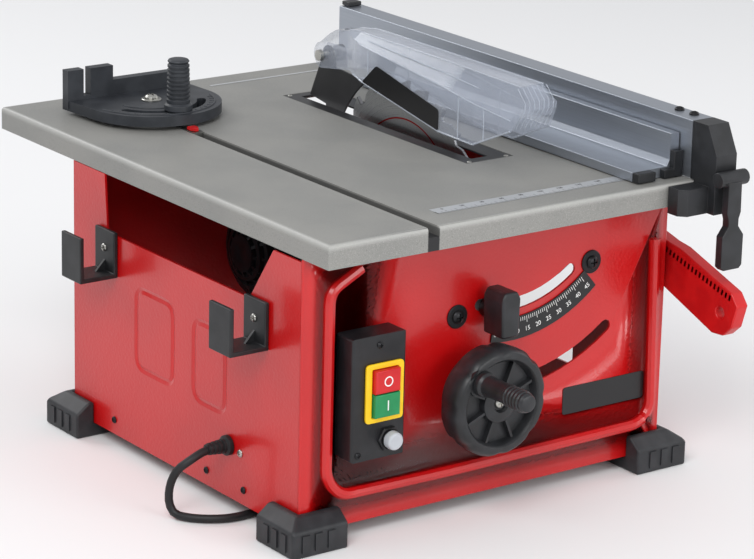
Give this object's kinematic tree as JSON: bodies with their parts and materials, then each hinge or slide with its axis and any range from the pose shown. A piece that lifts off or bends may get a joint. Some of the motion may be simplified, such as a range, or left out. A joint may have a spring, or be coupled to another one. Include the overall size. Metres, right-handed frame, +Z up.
{
  "type": "table saw",
  "caption": "Benchtop table saw: red cabinet on black feet, grey table with tilting blade, clear guard, rip fence, mitre gauge and handwheel.",
  "frame": {"origin": "on the floor, under the middle of the box round the saw without its lead", "axes": "+Z up; -Y towards the operator, the side with handwheel and switch; +X towards the rip fence"},
  "size_m": [0.4479, 0.5972, 0.3377],
  "materials": {
    "red_coat": "glossy red powder coat with a fine leather grain",
    "table_paint": "grey speckled textured paint",
    "black_plastic": "fine-grained black moulding",
    "aluminium": "satin extrusion with fine draw lines",
    "steel": "bright turned or cut steel",
    "brass": "plain machined",
    "clear_plastic": "clear moulded guard",
    "red_plastic": "red moulding",
    "yellow_plastic": "yellow moulding",
    "green_plastic": "green moulding",
    "grey_plastic": "grey translucent cap",
    "rubber": "black lead and mouldings"
  },
  "bodies": {
    "root": {"table_top": "table_paint", "front_panel": "red_coat", "rear_panel": "red_coat", "left_panel": "red_coat", "right_panel": "red_coat", "dust_port": "black_plastic", "foot_front_left": "black_plastic", "foot_front_right": "black_plastic", "foot_rear_left": "black_plastic", "foot_rear_right": "black_plastic", "side_hook_front": "black_plastic", "side_hook_rear": "black_plastic", "switch_box": "black_plastic", "tilt_scale_plate": "black_plastic", "front_trunnion": "steel", "rear_trunnion": "steel", "cord_gland": "rubber", "mains_cord": "rubber", "mains_coil": "rubber", "mains_plug": "rubber", "push_stick_holder": "black_plastic", "table_insert": "black_plastic"},
    "stop": {"stop_button": "red_plastic"},
    "start": {"start_button": "green_plastic"},
    "reset": {"reset_button": "grey_plastic"},
    "tilt_unit": {"tilt_frame": "steel", "front_trunnion_pin": "steel", "rear_trunnion_pin": "steel"},
    "front_guide": {"guide_plate": "steel"},
    "handwheel": {"handwheel": "black_plastic", "handwheel_shaft": "steel"},
    "crank": {"crank_handle": "black_plastic"},
    "tilt_knob": {"tilt_knob": "black_plastic"},
    "lift_screw": {"lift_screw": "steel"},
    "saw_unit": {"gear_case": "aluminium", "lift_nut": "brass", "motor_housing": "black_plastic", "motor_end_cap": "black_plastic", "blade_shroud": "black_plastic", "riving_knife": "black_plastic", "knife_clamp": "steel", "guard_bolt": "steel", "guard_nut": "black_plastic"},
    "arbor": {"arbor": "steel", "saw_blade": "steel", "inner_flange": "steel", "outer_flange": "steel", "arbor_nut": "steel"},
    "armature": {"motor_armature": "steel"},
    "guard": {"guard_hood": "clear_plastic"},
    "fence": {"fence_rail": "aluminium", "fence_head": "black_plastic", "fence_rear_clamp": "black_plastic"},
    "fence_lever": {"fence_lever": "black_plastic"},
    "face_rail": {"face_rail": "aluminium", "face_rail_clamp": "black_plastic"},
    "mitre_bar": {"mitre_bar": "steel"},
    "mitre_head": {"mitre_head": "black_plastic"},
    "mitre_knob": {"mitre_clamp_knob": "black_plastic"},
    "push_stick": {"push_stick": "red_plastic"}
  },
  "joints": [
    {"name": "stop_press", "type": "slide", "parent": "root", "child": "stop", "axis": [0, 1, 0], "range_m": [0, 0.003], "stiffness_N_per_m": 400, "springref_m": -0.001},
    {"name": "start_press", "type": "slide", "parent": "root", "child": "start", "axis": [0, 1, 0], "range_m": [0, 0.003], "stiffness_N_per_m": 400, "springref_m": -0.001},
    {"name": "reset_press", "type": "slide", "parent": "root", "child": "reset", "axis": [0, 1, 0], "range_m": [0, 0.003], "stiffness_N_per_m": 400, "springref_m": -0.001},
    {"name": "blade_tilt", "type": "hinge", "parent": "root", "child": "tilt_unit", "pos_m": [0.08198, 0.0345, 0.257], "axis": [0, -1, 0], "range_deg": [0, 45]},
    {"name": "guide_swing", "type": "hinge", "parent": "root", "child": "front_guide", "pos_m": [0.02797, -0.1845, 0.275], "axis": [0, -1, 0], "range_deg": [0, 45]},
    {"name": "handwheel_turn", "type": "hinge", "parent": "front_guide", "child": "handwheel", "pos_m": [-0.01412, -0.1845, 0.10617], "axis": [0, 1, 0], "range_deg": [0, 2160]},
    {"name": "crank_spin", "type": "hinge", "parent": "handwheel", "child": "crank", "pos_m": [-0.03562, -0.2345, 0.12767], "axis": [0, 1, 0], "continuous": true},
    {"name": "tilt_knob_turn", "type": "hinge", "parent": "front_guide", "child": "tilt_knob", "pos_m": [0.00257, -0.1845, 0.17312], "axis": [0, 1, 0], "range_deg": [0, 90]},
    {"name": "lift_screw_turn", "type": "hinge", "parent": "tilt_unit", "child": "lift_screw", "pos_m": [0.01798, -0.0675, 0.16], "axis": [0, 0, 1], "range_deg": [0, 2160]},
    {"name": "blade_lift", "type": "slide", "parent": "tilt_unit", "child": "saw_unit", "axis": [0, 0, 1], "range_m": [-0.015, 0]},
    {"name": "blade_spin", "type": "hinge", "parent": "saw_unit", "child": "arbor", "pos_m": [0.08198, 0.0345, 0.2], "axis": [1, 0, 0], "continuous": true},
    {"name": "armature_spin", "type": "hinge", "parent": "saw_unit", "child": "armature", "pos_m": [0.00797, 0.0445, 0.172], "axis": [1, 0, 0], "continuous": true},
    {"name": "guard_ride", "type": "hinge", "parent": "saw_unit", "child": "guard", "pos_m": [0.08198, 0.1545, 0.304], "axis": [-1, 0, 0], "range_deg": [0, 8]},
    {"name": "fence_slide", "type": "slide", "parent": "root", "child": "fence", "axis": [1, 0, 0], "range_m": [-0.03, 0]},
    {"name": "fence_lever_swing", "type": "hinge", "parent": "fence", "child": "fence_lever", "pos_m": [0.20083, -0.2525, 0.268], "axis": [-1, 0, 0], "range_deg": [0, 80]},
    {"name": "face_rail_slide", "type": "slide", "parent": "fence", "child": "face_rail", "axis": [0, 1, 0], "range_m": [0, 0.08]},
    {"name": "mitre_slide", "type": "slide", "parent": "root", "child": "mitre_bar", "axis": [0, 1, 0], "range_m": [-0.25, 0]},
    {"name": "mitre_swing", "type": "hinge", "parent": "mitre_bar", "child": "mitre_head", "pos_m": [-0.07773, 0.1975, 0.268], "axis": [0, 0, 1], "range_deg": [-45, 45]},
    {"name": "mitre_knob_turn", "type": "hinge", "parent": "mitre_bar", "child": "mitre_knob", "pos_m": [-0.07773, 0.1535, 0.29], "axis": [0, 0, 1], "range_deg": [0, 720]},
    {"name": "push_stick_lift", "type": "slide", "parent": "root", "child": "push_stick", "axis": [0, 0, 1], "range_m": [0, 0.014]}
  ],
  "couplings": [
    {"joint": "guide_swing", "follows": "blade_tilt", "ratio": 1},
    {"joint": "handwheel_turn", "follows": "blade_lift", "rad_per_m": -2513.3},
    {"joint": "lift_screw_turn", "follows": "blade_lift", "rad_per_m": -2513.3},
    {"joint": "armature_spin", "follows": "blade_spin", "ratio": -2.3636},
    {"joint": "guard_ride", "follows": "blade_tilt", "ratio": 0.17778}
  ]
}
